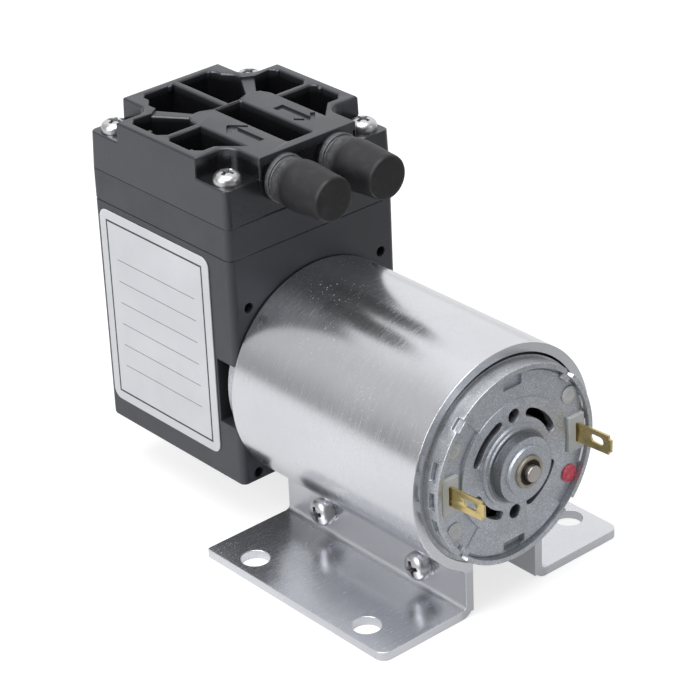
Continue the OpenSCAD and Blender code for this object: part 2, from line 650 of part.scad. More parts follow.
module head_cover() color([0.24, 0.24, 0.25]) in_head() difference() {
  union() {
    difference() {
      head_block(plate_z1, cover_z1);
      translate([0, 0, ledge_z]) linear_extrude(10) notches();
      // recessed front panel below the rim lip
      translate([-arm_x + 0.5, -1, plate_z1 - 1]) cube([2 * arm_x - 1, 1.3, cover_h - 0.7]);
    }
    for (x = [-1, 1]) translate([x * port_x, 0, port_z]) barb();
  }
  // pockets
  translate([0, 0, pocket_z]) linear_extrude(20) {
    mirrored() {
      front_pocket();
      mid_pocket();
      back_pocket();
    }
    rrect(-3.05, 2.3, 3.05, mid_y + 2.8, 0.4);
  }
  translate([0, 0, cover_z1 - rib_drop]) linear_extrude(2) mirrored() low_rib();
  // flow arrows
  translate([0, 0, cover_z1 - 0.45]) linear_extrude(2) {
    translate([-port_x + 0.3, 6]) arrow(9.6);
    translate([port_x + 0.2, 15.9]) rotate([0, 0, 180]) arrow(9.6);
    translate([port_x - 1.5, 14.5]) square([2, 1.4]);
  }
  // ports, drops and valve chambers
  for (x = [-1, 1]) {
    along_y(-barb_l - 1, mid_y + 1.4, port_bore / 2, x * port_x, port_z);
    translate([x * port_x, mid_y, plate_z1 - 1]) cylinder(r = port_bore / 2, h = port_rise + 1);
    translate([x * port_x, mid_y, plate_z1 - 1]) cylinder(r = 5.2, h = 2.6);
  }
  // screw holes
  for (x = [-1, 1], y = [screw_y0, screw_y1])
    translate([x * screw_x, y, plate_z1 - 1]) cylinder(r = thread_r + 0.1, h = 20);
}
module cover_screws() color([0.8, 0.8, 0.82]) in_head()
  for (x = [-1, 1], y = [screw_y0, screw_y1]) translate([x * screw_x, y, ledge_z])
    pan_screw(head_d_screw, 2.1, ledge_z - body_z1 + 3.4, thread_r);
module dust_cap() {
  out = cap_d / 2;
  bore = barb_d / 2 + 0.35;
  tip = cap_l + 1.6;
  rotate([90, 0, 0]) rotate_extrude()
    polygon([[bore, 1.7], [out - 0.3, 1.7], [out, 2.4], [out - 0.1, 5.5], [out - 0.55, tip - 0.4],
      [out - 0.85, tip], [0, tip], [0, barb_l + 0.4], [bore, barb_l + 0.4]]);
}
module inlet_cap() color([0.1, 0.1, 0.1]) in_head() translate([-port_x, 0, port_z]) dust_cap();
module outlet_cap() color([0.1, 0.1, 0.1]) in_head() translate([port_x, 0, port_z]) dust_cap();
module rating_plate() color([0.82, 0.83, 0.84]) in_head()
  translate([-head_w / 2, 0, body_z0]) rotate([90, 0, -90]) linear_extrude(0.25)
    translate([-head_d, 0]) rrect(1.7, 4.6, head_d - 6.4, body_h - 1.4, 2);

clamp_bracket();
cross_screws();
spring_washers();
flat_washers();
cross_nuts();
motor_can();
flux_ring();
end_cap();
brush_carrier();
solder_tabs();
brush_arms();
brushes();
rear_bushing();
front_bushing();
magnets();
magnet_clips();
motor_shaft();
armature_core();
armature_windings();
commutator_sleeve();
commutator_bars();
thrust_washers();
motor_screws();
pump_body();
eccentric();
set_screw();
bearing_inner();
bearing_outer();
bearing_balls();
connecting_rod();
diaphragm();
diaphragm_retainer();
retainer_screw();
valve_plate();
inlet_valve();
outlet_valve();
cover_gasket();
head_cover();
cover_screws();
inlet_cap();
outlet_cap();
rating_plate();
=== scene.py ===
"""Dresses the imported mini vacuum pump: moulded head, brushed clamp, zinc plated motor, plated screws."""
import json
import math

import bmesh
import bpy
from mathutils import Matrix, Vector, geometry


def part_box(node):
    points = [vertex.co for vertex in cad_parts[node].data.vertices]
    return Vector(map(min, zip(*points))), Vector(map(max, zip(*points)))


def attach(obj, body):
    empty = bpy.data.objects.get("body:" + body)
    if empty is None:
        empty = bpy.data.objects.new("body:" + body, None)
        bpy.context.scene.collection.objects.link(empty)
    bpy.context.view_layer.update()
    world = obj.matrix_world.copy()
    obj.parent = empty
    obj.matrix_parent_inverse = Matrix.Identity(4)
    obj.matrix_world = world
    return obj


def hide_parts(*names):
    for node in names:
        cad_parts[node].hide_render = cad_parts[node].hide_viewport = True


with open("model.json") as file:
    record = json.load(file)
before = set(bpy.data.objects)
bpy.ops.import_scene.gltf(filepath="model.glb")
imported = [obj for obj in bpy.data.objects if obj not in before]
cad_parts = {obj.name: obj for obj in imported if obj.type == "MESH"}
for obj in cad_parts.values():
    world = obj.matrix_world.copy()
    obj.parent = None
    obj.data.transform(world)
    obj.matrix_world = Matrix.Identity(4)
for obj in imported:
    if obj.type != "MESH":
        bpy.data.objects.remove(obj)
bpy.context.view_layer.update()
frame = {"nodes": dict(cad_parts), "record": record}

MM = 0.001
NODES = frame["nodes"]
BODY_OF = {n: b for b, ns in frame["record"]["behaviour"]["bodies"].items() for n in ns}
SLOT_OF = {s["node"]: s["material_slot"] for s in frame["record"]["subparts"]}

# camera fitted to the photograph
CAMERA_PLACE = (-0.29108, -0.32697, 0.27844)
CAMERA_TURN = (61.6559, 2.1768, -41.4587)
CAMERA_LENS = 140.949
CAMERA_SHIFT = (0.0020, 0.0)

# how much of the room's light falls on dull surfaces
WORLD_FILL = 0.3

# places and sizes taken from the frame, in metres
COVER_LOW, COVER_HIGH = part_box("head_cover")
BODY_LOW, BODY_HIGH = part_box("pump_body")
CLAMP_LOW, CLAMP_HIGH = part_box("clamp_bracket")
CAN_LOW, CAN_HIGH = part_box("motor_can")
CROSS_LOW, CROSS_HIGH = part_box("cross_screws")
HEAD_DEPTH = 0.041
SLEEVE_R = 0.02185
FACE_Y = COVER_HIGH.y - HEAD_DEPTH
COVER_TOP = COVER_HIGH.z
PLATE_TOP = COVER_LOW.z
LEDGE_Z = COVER_TOP - 4.1 * MM
CAP_FACE = FACE_Y - 51.9 * MM
AXIS_Z = CLAMP_HIGH.z - SLEEVE_R
CAN_AXIS_Z = (CAN_LOW.z + CAN_HIGH.z) / 2
CROSS_Z = (CROSS_LOW.z + CROSS_HIGH.z) / 2
CROSS_Y = (12.8 * MM, -13.7 * MM)
RIVET_X, RIVET_Z = 0.014226, 0.008158

# places and sizes in millimetres
FACE_MM = FACE_Y / MM
CAP_MM = CAP_FACE / MM
AXIS_MM = AXIS_Z / MM
CAN_R = (CAN_HIGH.x - CAN_LOW.x) / MM / 2
SCREW_SIDE, SCREW_BACK = 16.4, (3.8, 37.2)
PORT_SIDE, PORT_UP = 6.45, 6.3
THREAD_WIDTH, THREAD_PITCH = 3.0, 0.5
# edge radii of the cover: arrows, low steps, joint, barb collars, screw ledges, upright corners, ribs, rims
CRISP, SHALLOW, JOINT, COLLAR, LEDGE_EDGE, CORNER, RIB, RIM = 0.1, 0.14, 0.16, 0.25, 0.3, 0.36, 0.4, 0.46
# the ejector pins' marks on the pocket rims, from the middle and the front face
PIN_MARKS = ((-1.6, 39.3), (8.2, 39.2), (18.1, 30.0), (18.1, 17.3), (-18.1, 24.5), (-18.1, 12.0))

COVER_SCREWS = [(x * SCREW_SIDE * MM, FACE_Y + y * MM) for x in (-1, 1) for y in SCREW_BACK]
PORT_X = PORT_SIDE * MM
PORT_Z = PLATE_TOP + PORT_UP * MM

# edges that turn by more than this are sharp, and get a small radius
SHARP_TURN = math.radians(40)

# the finish of each material slot, by name
FINISHES = {}


class Wiring:
    """A node tree, with short ways to add linked nodes to it."""

    def __init__(self, tree):
        self.tree = tree

    def feed(self, socket, value):
        """Links another node's output to the socket, or writes a plain value into it."""
        if isinstance(value, bpy.types.NodeSocket):
            self.tree.links.new(value, socket)
        else:
            socket.default_value = value

    def add(self, kind, inputs=None, **settings):
        n = self.tree.nodes.new(kind)
        for key, value in settings.items():
            setattr(n, key, value)
        for key, value in (inputs or {}).items():
            self.feed(n.inputs[key], value)
        return n

    def ranged(self, value, low, high, from_low=0.3, from_high=0.7, **settings):
        """Brings a value from the range (from_low, from_high) into the range (low, high)."""
        inputs = {"Value": value, "From Min": from_low, "From Max": from_high, "To Min": low, "To Max": high}
        return self.add("ShaderNodeMapRange", inputs, **settings).outputs["Result"]

    def math(self, operation, a, b=0.0, c=0.0):
        return self.add("ShaderNodeMath", {0: a, 1: b, 2: c}, operation=operation).outputs[0]


class Finish(Wiring):
    """One procedural material and short ways to add nodes to it."""

    def __init__(self, name):
        self.material = bpy.data.materials.new(name)
        self.material.use_nodes = True
        FINISHES[name] = self.material
        super().__init__(self.material.node_tree)
        self.shader = self.tree.nodes["Principled BSDF"]
        self.object_space = self.add("ShaderNodeTexCoord").outputs["Object"]

    def place(self):
        """The x, y and z of a point."""
        return self.add("ShaderNodeSeparateXYZ", {"Vector": self.object_space}).outputs

    def noise(self, scale, detail=4.0, roughness=0.6, stretch=(1, 1, 1)):
        space = self.add("ShaderNodeMapping", {"Vector": self.object_space, "Scale": stretch}).outputs[0]
        inputs = {"Vector": space, "Scale": scale, "Detail": detail, "Roughness": roughness}
        return self.add("ShaderNodeTexNoise", inputs).outputs["Fac"]

    def ramp(self, value, stops):
        n = self.add("ShaderNodeValToRGB", {"Fac": value})
        while len(n.color_ramp.elements) < len(stops):
            n.color_ramp.elements.new(0.5)
        for element, (place, colour) in zip(n.color_ramp.elements, stops):
            element.position = place
            element.color = (*colour, 1)
        return n.outputs["Color"]

    def mix(self, factor, a, b):
        n = self.add("ShaderNodeMix", {0: factor}, data_type="RGBA")
        for index, colour in ((6, a), (7, b)):
            self.feed(n.inputs[index], colour if isinstance(colour, bpy.types.NodeSocket) else (*colour, 1))
        return n.outputs[2]

    def bump(self, height, strength, distance, normal=None):
        inputs = {"Height": height, "Strength": strength, "Distance": distance}
        if normal is not None:
            inputs["Normal"] = normal
        return self.add("ShaderNodeBump", inputs).outputs["Normal"]

    def vector(self, operation, a, b=(0, 0, 0), output=0):
        return self.add("ShaderNodeVectorMath", {0: a, 1: b}, operation=operation).outputs[output]

    def from_line(self, point, centre):
        """Distance of a point from the line along Y through a centre."""
        apart = self.vector("SUBTRACT", point, centre)
        return self.vector("LENGTH", self.vector("MULTIPLY", apart, (1, 0, 1)), output="Value")

    def from_axis(self):
        """Distance of a point from the motor's axis."""
        return self.from_line(self.object_space, (0, 0, CAN_AXIS_Z))

    def set(self, **values):
        for key, value in values.items():
            self.feed(self.shader.inputs[key.replace("_", " ")], value)


def shades(colour, low, high):
    """Two stops round a colour, for slow variation over a surface."""
    return [(0.3, tuple(c * low for c in colour)), (0.7, tuple(c * high for c in colour))]


def moulded(name, colour, rough=(0.36, 0.5), grain=2600, bump=0.1, specular=0.5, tint=(1, 1, 1),
            shade_and_marks=None):
    """Moulded plastic: fine spark-eroded texture, slow sheen changes, faint pale scuffs.

    The last argument, where it is given, adds a piece's own painted shade and marks to the colour and the
    roughness.
    """
    f = Finish(name)
    base = f.ramp(f.noise(60, 3), shades(colour, 0.88, 1.12))
    scuff = f.ranged(f.noise(900, 2, 0.7, (1, 0.16, 0.5)), 0, 0.35, 0.66, 0.8)
    base = f.mix(scuff, base, tuple(min(1, c * 2.2) for c in colour))
    shine = f.ranged(f.noise(140, 4), *rough)
    if shade_and_marks:
        base, shine = shade_and_marks(f, colour, base, shine)
    f.set(Base_Color=base, Roughness=shine, Normal=f.bump(f.noise(grain, 2, 0.5), bump, 0.00006),
          Specular_IOR_Level=specular, Specular_Tint=(*tint, 1))


def cover_shade_and_talc(f, colour, base, shine):
    """Painted shade makes the cover's pockets and ledges near black, and they are glossier; talc lies on the
    collars of its barbs.
    """
    place = f.place()
    rim, fade = 0.00055, 0.0003
    side, front, back = COVER_HIGH.x - rim, COVER_LOW.y + rim, COVER_HIGH.y - rim
    inside = f.ranged(place["Z"], 1, 0, COVER_TOP - 0.0017, COVER_TOP - 0.0006)
    across = f.ranged(f.math("ABSOLUTE", place["X"]), 1, 0, side - 0.0002, side)
    inside = f.math("MULTIPLY", inside, across)
    inside = f.math("MULTIPLY", inside, f.ranged(place["Y"], 0, 1, front, front + fade))
    inside = f.math("MULTIPLY", inside, f.ranged(place["Y"], 1, 0, back - fade, back))
    shine = f.math("MULTIPLY_ADD", inside, -0.08, shine)
    # painted shade: inside the rim, everything more than about a millimetre below the top is darkened to near
    # black
    base = f.mix(inside, base, tuple(c * 0.3 for c in colour))
    talc = f.math("MULTIPLY", f.ranged(place["Y"], 1, 0, FACE_Y - 0.0004, FACE_Y - 0.0001),
                  f.ranged(place["Y"], 0, 1, FACE_Y - 0.0022, FACE_Y - 0.0014))
    talc = f.math("MULTIPLY", talc, f.ranged(f.noise(1100, 4), 0.35, 1.0))
    return f.mix(talc, base, (0.085, 0.086, 0.09)), f.math("MULTIPLY_ADD", talc, 0.35, shine)


def soft_rubber(name, colour, rough=(0.55, 0.72), mouth=None):
    """Moulded rubber: dull, faintly dusty, most of all near a mouth at the given place along Y."""
    f = Finish(name)
    dust = f.ranged(f.noise(420, 5, 0.65), 0, 0.5, 0.5, 0.8)
    base = f.mix(dust, colour, tuple(c + 0.03 for c in colour))
    if mouth is not None:
        near = f.ranged(f.place()["Y"], 0, 1, mouth - 0.0048, mouth - 0.0022)
        near = f.math("MULTIPLY", near, f.ranged(f.noise(900, 4), 0.2, 0.9))
        base = f.mix(near, base, (0.10, 0.10, 0.105))
    f.set(Base_Color=base, Roughness=f.ranged(f.noise(200, 4), *rough),
          Normal=f.bump(f.noise(1500, 3), 0.15, 0.00008), Specular_IOR_Level=0.4)


def metal(name, colour, rough=(0.25, 0.4), stretch=(1, 1, 1), grain=1500, bump=0.06, vary=(0.9, 1.08),
          speck=0.0, recess=False):
    """Plated or plain metal: slow tone changes, fine grain along the working direction, small specks.

    recess paints shade into the cross of a screw head, which the head's mesh marks with an attribute.
    """
    f = Finish(name)
    base = f.ramp(f.noise(90, 4), shades(colour, *vary))
    if speck:
        spots = f.ranged(f.noise(1700, 2, 0.8), 0, speck, 0.6, 0.72)
        base = f.mix(spots, base, tuple(c * 0.6 for c in colour))
    if recess:
        # painted shade: the cross recess, marked on the head's mesh, is darkened to near black
        recess_shade = f.add("ShaderNodeAttribute", attribute_name="recess").outputs["Fac"]
        base = f.mix(f.math("MULTIPLY", recess_shade, 0.92), base, (0.03, 0.03, 0.032))
    lines = f.noise(grain, 3, 0.6, stretch)
    f.set(Base_Color=base, Metallic=1.0, Roughness=f.ranged(lines, *rough),
          Normal=f.bump(lines, bump, 0.00005))


def brushed_sheet(name, colour):
    """Rolled sheet with a soft polish: hair-fine lines round the sleeve, slow haze, a few pale nicks."""
    f = Finish(name)
    lines = f.noise(1500, 2, 0.5, (0.12, 2.2, 0.12))
    hairs = f.ranged(f.noise(2200, 2, 0.7, (0.22, 1.6, 0.22)), 0, 1, 0.56, 0.7)
    haze = f.noise(38, 3, 0.5)
    grime = f.noise(150, 5, 0.65)
    nick = f.ranged(f.noise(3000, 1, 0.5), 0, 1, 0.72, 0.74)
    patch = f.ranged(f.noise(70, 3, 0.6), 0, 0.8, 0.52, 0.68)
    nick = f.math("MULTIPLY", nick, patch)
    base = f.ramp(haze, shades(colour, 0.96, 1.03))
    base = f.mix(f.ranged(grime, 0, 0.16, 0.5, 0.72), base, tuple(c * 0.72 for c in colour))
    base = f.mix(nick, base, (0.9, 0.9, 0.92))
    rough = f.math("ADD", f.ranged(lines, 0.17, 0.24), f.ranged(haze, -0.02, 0.05))
    rough = f.math("MULTIPLY_ADD", nick, 0.4, rough)
    rough = f.math("MULTIPLY_ADD", hairs, 0.055, rough)
    # the polish does not reach the walls and their folds
    place = f.place()
    wall_side, wall_top = (0.0104, 0.0113), (0.0092, 0.0098)
    wall = f.ranged(f.math("ABSOLUTE", place["X"]), 1, 0, *wall_side)
    wall = f.math("MULTIPLY", wall, f.ranged(place["Z"], 1, 0, *wall_top))
    rough = f.math("MULTIPLY_ADD", wall, 0.14, rough)
    base = f.mix(f.math("MULTIPLY", wall, 0.14), base, (0, 0, 0))
    n = f.bump(lines, 0.03, 0.00003)
    n = f.bump(f.noise(26, 2, 0.4), 0.35, 0.0004, n)
    n = f.bump(hairs, 0.07, 0.00003, n)
    n = f.bump(nick, 0.25, 0.00003, n)
    f.set(Base_Color=base, Metallic=f.math("MULTIPLY_ADD", nick, -0.75, 0.97), Roughness=rough, Normal=n)


def zinc_plate(name, colour, rough=(0.34, 0.5), crevice=False):
    """Dull zinc plate: blue-grey, cloudy, with tiny pits; crevice paints shade into the corner round the
    drum.
    """
    f = Finish(name)
    base = f.ramp(f.noise(160, 6, 0.7), shades(colour, 0.86, 1.1))
    pits = f.ranged(f.noise(2400, 2, 0.8), 0, 0.6, 0.64, 0.74)
    base = f.mix(pits, base, tuple(c * 0.45 for c in colour))
    grains = f.noise(3600, 2, 0.8)
    base = f.mix(f.ranged(grains, 0, 0.8, 0.56, 0.68), base, tuple(min(1, c * 1.6) for c in colour))
    base = f.mix(f.ranged(grains, 0.7, 0, 0.32, 0.44), base, tuple(c * 0.5 for c in colour))
    if crevice:
        away = f.from_axis()
        drum_edge, plate_edge = (0.0062, 0.00635), (0.0068, 0.0074)
        # painted shade: the corner round the drum, where the drum's side wall lies in shade, is darkened
        crevice_shade = f.math("MULTIPLY", f.ranged(away, 0, 1, *drum_edge), f.ranged(away, 1, 0, *plate_edge))
        base = f.mix(f.math("MULTIPLY", crevice_shade, 0.62), base, (0.03, 0.031, 0.034))
    n = f.bump(f.noise(900, 5, 0.7), 0.16, 0.00006)
    n = f.bump(grains, 0.3, 0.00003, n)
    f.set(Base_Color=base, Metallic=0.85, Roughness=f.ranged(f.noise(420, 5), *rough), Normal=n)


def wound_copper(name, colour):
    """Enamelled wire: fine turns over the coils."""
    f = Finish(name)
    wave = {"Vector": f.object_space, "Scale": 620, "Distortion": 1.5, "Detail": 2.0}
    turns = f.add("ShaderNodeTexWave", wave, wave_type="RINGS", rings_direction="Y").outputs["Fac"]
    base = f.ramp(turns, [(0.1, tuple(c * 0.35 for c in colour)), (0.6, colour)])
    f.set(Base_Color=base, Metallic=0.6, Roughness=f.ranged(f.noise(300), 0.25, 0.4),
          Normal=f.bump(turns, 0.5, 0.0001), Coat_Weight=0.4)


def laminated(name, colour):
    """Stacked laminations: thin lines square to the shaft."""
    f = Finish(name)
    wave = {"Vector": f.object_space, "Scale": 320, "Distortion": 0.2}
    sheets = f.add("ShaderNodeTexWave", wave, bands_direction="Y").outputs["Fac"]
    base = f.ramp(sheets, [(0.1, tuple(c * 0.4 for c in colour)), (0.5, colour)])
    f.set(Base_Color=base, Metallic=0.8, Roughness=f.ranged(f.noise(300), 0.4, 0.55),
          Normal=f.bump(sheets, 0.4, 0.00008))


# the shine of the black plastic is slightly blue
COOL = (0.89, 0.905, 1.0)

moulded("cover_plastic", (0.018, 0.0185, 0.0215), (0.26, 0.38), specular=0.9, tint=COOL, shade_and_marks=cover_shade_and_talc)
moulded("plate_plastic", (0.020, 0.0205, 0.0235), specular=0.8, tint=COOL)
moulded("body_plastic", (0.019, 0.0195, 0.0225), specular=0.8, tint=COOL)
brushed_sheet("bracket_aluminium", (0.70, 0.71, 0.745))
metal("plated_steel", (0.50, 0.50, 0.52), (0.28, 0.4), grain=900, recess=True)
metal("cover_screw_steel", (0.60, 0.60, 0.62), (0.26, 0.38), grain=900, recess=True)
metal("washer_steel", (0.46, 0.46, 0.48), (0.22, 0.36))
zinc_plate("can_steel", (0.50, 0.52, 0.55), (0.26, 0.4))
zinc_plate("cap_steel", (0.50, 0.525, 0.57), crevice=True)
zinc_plate("ring_steel", (0.52, 0.53, 0.55), (0.35, 0.5))
metal("tab_brass", (0.72, 0.58, 0.27), (0.24, 0.42), (1, 0.2, 1), 1800, 0.08, (0.8, 1.1), 0.4)
metal("spring_bronze", (0.6, 0.42, 0.22), (0.3, 0.45))
moulded("carbon", (0.03, 0.03, 0.033), (0.4, 0.6), 3000, 0.2)
moulded("ferrite", (0.05, 0.05, 0.055), (0.5, 0.7), 2000, 0.2)
metal("spring_steel", (0.45, 0.45, 0.47), (0.3, 0.45))
metal("shaft_steel", (0.52, 0.49, 0.47), (0.26, 0.42), (1, 6, 1), 1200, 0.1, (0.8, 1.15))
laminated("lamination_steel", (0.32, 0.32, 0.34))
wound_copper("enamelled_copper", (0.50, 0.19, 0.07))
moulded("phenolic", (0.10, 0.045, 0.022), (0.4, 0.55), 1600, 0.1)
metal("commutator_copper", (0.62, 0.30, 0.15), (0.22, 0.38), (1, 0.2, 1))
moulded("washer_nylon", (0.6, 0.55, 0.38), (0.4, 0.5), 1600, 0.08)
metal("crank_zinc", (0.42, 0.42, 0.44), (0.34, 0.5), grain=700, bump=0.16, speck=0.3)
metal("black_steel", (0.03, 0.03, 0.034), (0.35, 0.5))
metal("bearing_steel", (0.62, 0.62, 0.64), (0.12, 0.22), (1, 5, 1))
metal("ball_steel", (0.72, 0.72, 0.74), (0.06, 0.12), bump=0.02)
metal("rod_alloy", (0.46, 0.46, 0.47), (0.38, 0.52), grain=600, bump=0.2, speck=0.2)
metal("retainer_alloy", (0.6, 0.6, 0.61), (0.25, 0.36), (1, 1, 4))
soft_rubber("diaphragm_rubber", (0.024, 0.024, 0.026))
soft_rubber("gasket_rubber", (0.03, 0.03, 0.03))
soft_rubber("valve_rubber", (0.22, 0.05, 0.03))
soft_rubber("cap_rubber", (0.009, 0.009, 0.0105), (0.45, 0.6), FACE_Y)


def label_film():
    """Rating plate: pale film with one thin frame line and blank ruled rows inside it."""
    low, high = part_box("rating_plate")
    centre = (low + high) / 2
    half = (high - low) / 2
    f = Finish("label_film")
    place = f.place()

    def inside(axis, inset):
        index = "XYZ".index(axis)
        away = f.math("ABSOLUTE", f.math("SUBTRACT", place[axis], centre[index]))
        return f.math("LESS_THAN", away, half[index] - inset)

    def panel(inset_y, inset_z):
        return f.math("MULTIPLY", inside("Y", inset_y), inside("Z", inset_z))

    line = f.math("SUBTRACT", panel(0.0019, 0.0019), panel(0.0023, 0.0023))
    first_row, row_pitch, half_line = low.z + 0.0062, 0.0046, 0.018
    up = f.math("DIVIDE", f.math("SUBTRACT", place["Z"], first_row), row_pitch)
    row = f.math("ABSOLUTE", f.math("SUBTRACT", f.math("FRACT", up), 0.5))
    row = f.math("MULTIPLY", f.math("LESS_THAN", row, half_line), panel(0.0047, 0.0062))
    line = f.math("MAXIMUM", line, f.math("MULTIPLY", row, 0.75))
    paper = f.ramp(f.noise(70, 4), [(0.3, (0.56, 0.57, 0.60)), (0.7, (0.62, 0.63, 0.66))])
    f.set(Base_Color=f.mix(line, paper, (0.02, 0.02, 0.022)), Roughness=f.ranged(f.noise(300), 0.3, 0.42),
          Normal=f.bump(f.noise(240, 3), 0.1, 0.00006), Specular_IOR_Level=0.5)


def brush_nylon():
    """Pale nylon of the brush carrier; the lower right rivet head carries a red polarity mark."""
    f = Finish("white_nylon")
    away = f.from_line(f.object_space, (RIVET_X, 0, CAN_AXIS_Z - RIVET_Z))
    mark = f.ranged(f.math("MULTIPLY_ADD", f.noise(700, 4), 0.0006, away), 1, 0, 0.0022, 0.0026)
    # the ring is the same on all four rivet heads, so it is drawn once and mirrored
    level = f.vector("SUBTRACT", f.object_space, (0, 0, CAN_AXIS_Z))
    ring = f.from_line(f.vector("ABSOLUTE", level), (RIVET_X, 0, RIVET_Z))
    ring = f.ranged(f.math("ABSOLUTE", f.math("SUBTRACT", ring, 0.00105)), 1, 0, 0.0001, 0.00028)
    base = f.ramp(f.noise(240, 4), [(0.3, (0.50, 0.52, 0.52)), (0.7, (0.60, 0.62, 0.62))])
    base = f.mix(f.math("MULTIPLY", ring, 0.35), base, (0.75, 0.76, 0.77))
    red = f.ramp(f.noise(1400, 3), [(0.35, (0.62, 0.045, 0.085)), (0.7, (0.80, 0.16, 0.22))])
    f.set(Base_Color=f.mix(mark, base, red), Roughness=f.ranged(f.noise(500), 0.3, 0.46),
          Normal=f.bump(ring, 0.5, 0.00012, f.bump(f.noise(1800, 3), 0.12, 0.00006)),
          Subsurface_Weight=0.25, Subsurface_Scale=0.0008)


def oiled_bronze():
    """Sintered bearing: pale worn face outside, dark oil round the shaft."""
    f = Finish("bushing_bronze")
    wet = f.ranged(f.math("MULTIPLY_ADD", f.noise(900, 4), 0.0004, f.from_axis()), 1, 0, 0.0025, 0.0028)
    base = f.ramp(f.noise(1500, 5, 0.7), [(0.3, (0.34, 0.30, 0.25)), (0.7, (0.46, 0.42, 0.36))])
    base = f.mix(wet, base, (0.022, 0.014, 0.011))
    f.set(Base_Color=base, Metallic=0.85, Roughness=f.ranged(f.noise(700, 4), 0.3, 0.5),
          Normal=f.bump(f.noise(2400, 3), 0.2, 0.00005))


brush_nylon()
oiled_bronze()
label_film()


def dress(piece, slot):
    piece.data.materials.clear()
    piece.data.materials.append(FINISHES[slot])


for name, piece in NODES.items():
    dress(piece, SLOT_OF[name])


def placed(name, data):
    """A new object in the scene."""
    thing = bpy.data.objects.new(name, data)
    bpy.context.scene.collection.objects.link(thing)
    return thing


def opened(mesh):
    """A mesh's corners, edges and faces, to be worked on."""
    bm = bmesh.new()
    bm.from_mesh(mesh)
    return bm


def stored(bm, mesh):
    """Writes worked corners, edges and faces back into a mesh."""
    bm.to_mesh(mesh)
    bm.free()
    return mesh


def new_mesh(name, bm):
    """A mesh with its doubles merged and its faces turned outwards."""
    bmesh.ops.remove_doubles(bm, verts=bm.verts, dist=1e-6)
    bmesh.ops.recalc_face_normals(bm, faces=bm.faces)
    return stored(bm, bpy.data.meshes.new(name))


def smooth_by_angle(mesh, degrees):
    """Smooth faces, with sharp edges where the surface turns by more than the angle."""
    bm = opened(mesh)
    limit = math.radians(degrees)
    for face in bm.faces:
        face.smooth = True
    for edge in bm.edges:
        edge.smooth = len(edge.link_faces) == 2 and edge.calc_face_angle(math.pi) < limit
    stored(bm, mesh)


def evaluated_mesh(thing):
    """The plain mesh that an object's modifiers make."""
    depsgraph = bpy.context.evaluated_depsgraph_get()
    return bpy.data.meshes.new_from_object(thing.evaluated_get(depsgraph))


def baked(mesh, kind, **settings):
    """Applies one modifier and returns the plain mesh."""
    bench = placed("bench", mesh)
    modifier = bench.modifiers.new(kind, kind)
    for key, value in settings.items():
        setattr(modifier, key, value)
    done = evaluated_mesh(bench)
    bpy.data.objects.remove(bench)
    return done


def finished(name, mesh, body, slot, replaced=(), angle=32):
    """Turns a mesh into a piece that rides on a body and stands for its CAD nodes."""
    smooth_by_angle(mesh, angle)
    piece = placed(name, baked(mesh, "WEIGHTED_NORMAL", keep_sharp=True, mode="FACE_AREA"))
    dress(piece, slot)
    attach(piece, body)
    if replaced:
        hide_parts(*replaced)


def merged_copy(node):
    """A CAD node's mesh, with its doubles merged and its flat strips joined into four-sided faces."""
    bm = opened(NODES[node].data)
    bmesh.ops.remove_doubles(bm, verts=bm.verts, dist=2e-6)
    bmesh.ops.join_triangles(bm, faces=bm.faces, angle_face_threshold=0.01, angle_shape_threshold=0.3)
    return bm


def edges_rounded(bm, widths, segments=2):
    """Rounds the sharp edges by one radius in mm, or by what widths gives for an edge and its middle."""
    layer = bm.edges.layers.float.new("bevel_weight_edge")
    chosen = {}
    for edge in bm.edges:
        if len(edge.link_faces) != 2 or edge.calc_face_angle(0) < SHARP_TURN:
            continue
        middle = (edge.verts[0].co + edge.verts[1].co) / 2
        width = widths(middle / MM, edge) if callable(widths) else widths
        if width > 0:
            chosen[edge] = width
    widest = max(chosen.values(), default=0.0)
    for edge, width in chosen.items():
        edge[layer] = width / widest
    mesh = stored(bm, bpy.data.meshes.new("edges"))
    return baked(mesh, "BEVEL", width=widest * MM, segments=segments, limit_method="WEIGHT",
                 use_clamp_overlap=False, loop_slide=False)


def softened(node, widths, segments=2):
    """A CAD node's own shape with rounded edges."""
    mesh = edges_rounded(merged_copy(node), widths, segments)
    finished(node + "_moulding", mesh, BODY_OF[node], SLOT_OF[node], (node,))


def around(steps):
    """Evenly spaced angles of a full turn."""
    return [2 * math.pi * k / steps for k in range(steps)]


def skinned(bm, rings, closed=False):
    """Lays faces between neighbouring rings of corners, of which any may be a single point."""
    steps = max(len(ring) for ring in rings)
    pairs = list(zip(rings, rings[1:]))
    if closed:
        pairs.append((rings[-1], rings[0]))
    for a, b in pairs:
        for k in range(steps):
            corners = []
            for ring, index in ((a, k), (a, k + 1), (b, k + 1), (b, k)):
                v = ring[index % len(ring)]
                if v not in corners:
                    corners.append(v)
            if len(corners) > 2:
                bm.faces.new(corners)


def cover_draft(point):
    """Mould draft: the cover's four sides lean in by about two degrees towards the top."""
    if point.y < FACE_Y - 1e-5 or point.z < PLATE_TOP + 1e-5:
        return point
    lean_side, lean_back = 0.02, 0.014
    up = (point.z - PLATE_TOP) / (COVER_TOP - PLATE_TOP)
    middle = FACE_Y + 20.5 * MM
    y = middle + (point.y - middle) * (1 - lean_back * up)
    return Vector((point.x * (1 - lean_side * up), y, point.z))


def level(edge):
    return abs(edge.verts[0].co.z - edge.verts[1].co.z) < 1e-4


def upright(edge):
    return (edge.verts[0].co - edge.verts[1].co).xy.length < 1e-5


